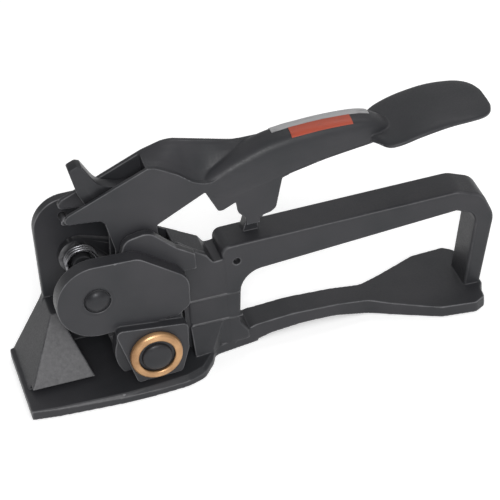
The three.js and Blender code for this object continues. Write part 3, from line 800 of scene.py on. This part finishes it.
def pins():
    near, far = span("pivot_pin_near", 1), span("pivot_pin_far", 1)
    turned("pin_near", "base", "pivot_pin_near", PIVOT, [
        (0, near[0]), (3, near[0] + 0.1), (5.5, near[0] + 0.8), (7.4, near[0] + 2), (8.6, near[0] + 3.6),
        (8.6, near[0] + 4.4), (PIVOT_R, near[0] + 4.4), (PIVOT_R, near[1]), (0, near[1]),
    ], BLACK_STEEL, "black_steel", 0.5)
    turned("pin_far", "base", "pivot_pin_far", PIVOT, [
        (0, far[0]), (PIVOT_R, far[0]), (PIVOT_R, far[1]), (0, far[1]),
    ], BLACK_STEEL, "black_steel", 0.9)
    low, high = span("spring_anchor_pin", 1)
    turned("anchor_pin", "base", "spring_anchor_pin", ANCHOR, [
        (0, low), (ANCHOR_R, low), (ANCHOR_R, high), (0, high),
    ], GROUND_STEEL, "ground_steel", 0.6)
    low, high = span("drive_pawl_pin", 1)
    turned("hinge_pin", "lever", "drive_pawl_pin", HINGE, [
        (0, low), (STUD_R, low), (STUD_R, high), (0, high),
    ], GROUND_STEEL, "ground_steel", 0.5)
    low, high = span("holding_pawl_stud", 1)
    turned("pawl_stud", "rocker", "holding_pawl_stud", STUD, [
        (0, low), (STUD_R, low), (STUD_R, high), (0, high),
    ], BLACK_STEEL, "black_steel", 0.4)
    low, high = span("rocker_tie_bolt", 1)
    turned("tie_bolt", "rocker", "rocker_tie_bolt", TIE, [
        (0, low), (STUD_R, low), (STUD_R, -18.7), (STUD_R + 0.8, -18.7), (STUD_R + 0.8, 23.7),
        (STUD_R, 23.7), (STUD_R, high), (0, high),
    ], BLACK_STEEL, "black_steel", 0.25)


def bushings():
    front, back = span("shaft_bushing_near", 1)
    turned("bush_near", "rocker", "shaft_bushing_near", SHAFT, [
        (12.5, front + 0.6), (13.4, front), (16.4, front + 0.2), (17.6, front + 1.2), (18, front + 2.6),
        (18, -36.3), (16, -36.3), (16, back), (13.4, back), (13.4, -38.4), (12.5, -39.2),
    ], BRONZE, "bronze")
    low, high = span("shaft_bushing_far", 1)
    turned("bush_far", "rocker", "shaft_bushing_far", SHAFT, [
        (9.2, low), (12, low), (12, high), (9.2, high),
    ], BRONZE, "bronze")


def key_seat(node):
    low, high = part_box(node)
    return block([v / MM - 0.3 for v in low], [v / MM + 0.3 for v in high])


def shaft():
    front, back = span("feed_shaft", 1)
    body = lathe(SHAFT, [
        (0, front), (5, front + 0.1), (8.2, front + 0.7), (9.8, front + 1.7), (10.3, front + 2.8),
        (10.3, front + 3.9), (12.2, front + 3.9), (13.2, front + 4.9), (13.2, -12.7), (SHAFT_R, -12.7),
        (SHAFT_R, 23.4), (9, 23.4), (9, 29.2), (8, 29.2), (8, 30.6), (9, 30.6), (9, back - 0.8), (8.2, back),
        (0, back),
    ])
    body = cut(body, key_seat("feed_wheel_key"), key_seat("ratchet_key"))
    place(bevelled(body, 0.25, 2), "shaft", "feed_shaft", ["feed_shaft"], BLACK_STEEL, "black_steel", 40)
    low, high = span("shaft_spacer", 1)
    turned("spacer", "feed_shaft", "shaft_spacer", SHAFT, [
        (SHAFT_R + 0.3, low), (14, low), (14, high), (SHAFT_R + 0.3, high),
    ], BLACK_STEEL, "black_steel")


# ---------- springs ----------

def springs():
    place(
        coil(PIVOT, 10.4, 14.2, 22.2, 3.3, math.pi * 0.95, (0, 10), 1.25, "spring"),
        "rocker_coil", "base", ["rocker_spring"], SPRING_STEEL, "spring_steel", 60,
    )
    place(
        coil(HINGE, 5.6, 5.3, 7.2, 1.6, math.pi * 0.4, (6, 8), 0.6, "spring"),
        "drive_coil", "lever", ["drive_pawl_spring"], SPRING_STEEL, "spring_steel", 60,
    )
    place(
        coil(STUD, 5.4, 6.6, 10.4, 2.6, math.pi * 0.6, (6, 8), 0.7, "spring"),
        "holding_coil", "rocker", ["holding_pawl_spring"], SPRING_STEEL, "spring_steel", 60,
    )


# ---------- far plate and drive pawl ----------

def rocker_far_plate():
    near, far = span("rocker_far_plate", 1)
    side = around([(*PIVOT, 14), (*SHAFT, 17), (*TIE, 9), (*STUD, 9)])
    body = cut(
        plate(side, near, far),
        rod(PIVOT, PIVOT_R + 0.25, 0, 40), rod(SHAFT, 12.3, 0, 40),
        rod(TIE, STUD_R + 0.1, 0, 40), rod(STUD, STUD_R + 0.1, 0, 40),
    )
    place(bevelled(body, 0.6), "rocker_far", "rocker", ["rocker_far_plate"], BLACK_STEEL, "black_steel", 40)


def drive_pawl():
    """The pawl, whose upper end is the thumb tab that lifts it."""
    near, far = span("drive_pawl", 1)
    side = outline([
        (-80, 97, 4), (-90, 64, 3), (-86.6, 53.8), (-84.6, 53.9), (-80, 58.5, 3), (-73.5, 76, 4),
        (-61, 92, 6), (-60.5, 104, 8), (-64, 136, 4), (-68, 146.5, 3), (-78, 147, 6), (-91, 151.4, 14),
        (-95, 157.6, 12), (-100.8, 168.4, 1.6), (-104, 169.6, 1.6), (-110, 167.2, 1.6), (-106, 148, 8),
        (-97, 128, 8), (-80, 106, 6),
    ])
    body = cut(bevelled(plate(side, near, far), 0.8), rod(HINGE, STUD_R + 0.3, -20, 20))
    place(body, "pawl", "drive_pawl", ["drive_pawl"], BLACK_STEEL, "black_steel", 40)


pins()
bushings()
shaft()
springs()
rocker_far_plate()
drive_pawl()


# ---------- stage, light and camera ----------

def carried_over():
    """CAD nodes that still show, with their materials."""
    by_slot = {
        "black_casting": CASTING, "black_steel": BLACK_STEEL, "ground_steel": GROUND_STEEL,
        "spring_steel": SPRING_STEEL, "bronze": BRONZE, "label_silver": SILVER, "label_orange": ORANGE,
    }
    slots = {s["node"]: s["material_slot"] for s in frame["record"]["subparts"]}
    for name, node in frame["nodes"].items():
        if node.hide_render:
            continue
        node.data.materials.clear()
        node.data.materials.append(by_slot[slots[name]])
        node.data.shade_smooth()
        node.data.set_sharp_from_angle(angle=math.radians(35))
        edges = node.modifiers.new("edges", "BEVEL")
        edges.width = 0.25 * MM
        edges.segments = 2
        edges.limit_method = "ANGLE"
        edges.angle_limit = math.radians(40)


def floor():
    work = bmesh.new()
    bmesh.ops.create_grid(work, x_segments=8, y_segments=8, size=4)
    mesh = bpy.data.meshes.new("floor")
    work.to_mesh(mesh)
    work.free()
    ground_plane = new_object("floor", mesh)
    ground_plane.location.z = -0.0006
    pale = Nodes("pale floor")
    clouds = pale.ramp(pale.noise(3, 2), 0.3, 0.7)
    pale.link(pale.mix(clouds, (0.93, 0.93, 0.93), (0.95, 0.95, 0.95)), pale.shader.inputs["Base Color"])
    pale.set(Roughness=0.9)
    pale.shader.inputs["Emission Color"].default_value = (1, 1, 1, 1)
    pale.shader.inputs["Emission Strength"].default_value = 0.34
    mesh.materials.append(pale.material)


def area_light(name, place_at, target, size, power):
    light = bpy.data.lights.new(name, "AREA")
    light.shape = "RECTANGLE"
    light.size, light.size_y = size
    light.energy = power
    lamp = new_object(name, light)
    lamp.location = place_at
    lamp.rotation_mode = "QUATERNION"
    lamp.rotation_quaternion = (Vector(target) - Vector(place_at)).to_track_quat("-Z", "Y")


def studio():
    """Soft light from all round, stronger overhead and weaker from the nose end."""
    world = bpy.data.worlds.new("studio")
    world.use_nodes = True
    tree = world.node_tree
    sky = tree.nodes["Background"]
    sky.inputs["Color"].default_value = (1, 1, 1, 1)
    place_on_sky = tree.nodes.new("ShaderNodeTexCoord")
    height = tree.nodes.new("ShaderNodeSeparateXYZ")
    fade = tree.nodes.new("ShaderNodeMapRange")
    tree.links.new(place_on_sky.outputs["Generated"], height.inputs[0])
    tree.links.new(height.outputs["Z"], fade.inputs["Value"])
    fade.inputs["From Max"].default_value = 0.8
    fade.inputs["To Min"].default_value = 0.42
    fade.inputs["To Max"].default_value = 0.66
    side = tree.nodes.new("ShaderNodeMapRange")
    tree.links.new(height.outputs["X"], side.inputs["Value"])
    side.inputs["From Min"].default_value = -0.9
    side.inputs["From Max"].default_value = -0.1
    side.inputs["To Min"].default_value = 0.45
    both = tree.nodes.new("ShaderNodeMath")
    both.operation = "MULTIPLY"
    tree.links.new(fade.outputs["Result"], both.inputs[0])
    tree.links.new(side.outputs["Result"], both.inputs[1])
    tree.links.new(both.outputs[0], sky.inputs["Strength"])
    bpy.context.scene.world = world
    area_light("key", (-0.26, -1.3, 0.95), (0, 0, 0.08), (0.5, 0.5), 13)
    area_light("shoulder", (0.28, -0.8, 1.1), (0, 0, 0.08), (0.9, 0.07), 2)
    area_light("top edge", (0.55, 0.45, 1.15), (0.08, 0, 0.08), (0.9, 0.2), 1.8)


AZIMUTH = math.radians(-13.58)
ELEVATION = math.radians(36.14)
ROLL = math.radians(-4.92)
DISTANCE = 1.60551
AIM_RIGHT = 0.00064
AIM_UP = 0.05753
FOCAL = 167.46


def camera():
    back = Vector((
        math.sin(AZIMUTH) * math.cos(ELEVATION),
        -math.cos(AZIMUTH) * math.cos(ELEVATION),
        math.sin(ELEVATION),
    ))
    level = Vector((math.cos(AZIMUTH), math.sin(AZIMUTH), 0))
    rise = back.cross(level)
    right = level * math.cos(ROLL) + rise * math.sin(ROLL)
    up = rise * math.cos(ROLL) - level * math.sin(ROLL)
    lens = bpy.data.cameras.new("camera")
    lens.lens = FOCAL
    lens.sensor_width = 36
    lens.clip_start, lens.clip_end = 0.05, 50
    eye = new_object("camera", lens)
    eye.matrix_world = Matrix((
        (right.x, up.x, back.x, 0), (right.y, up.y, back.y, 0), (right.z, up.z, back.z, 0), (0, 0, 0, 1),
    ))
    eye.location = right * AIM_RIGHT + up * AIM_UP + back * DISTANCE
    bpy.context.scene.camera = eye


carried_over()
floor()
studio()
camera()
bpy.context.scene.view_settings.view_transform = "Standard"
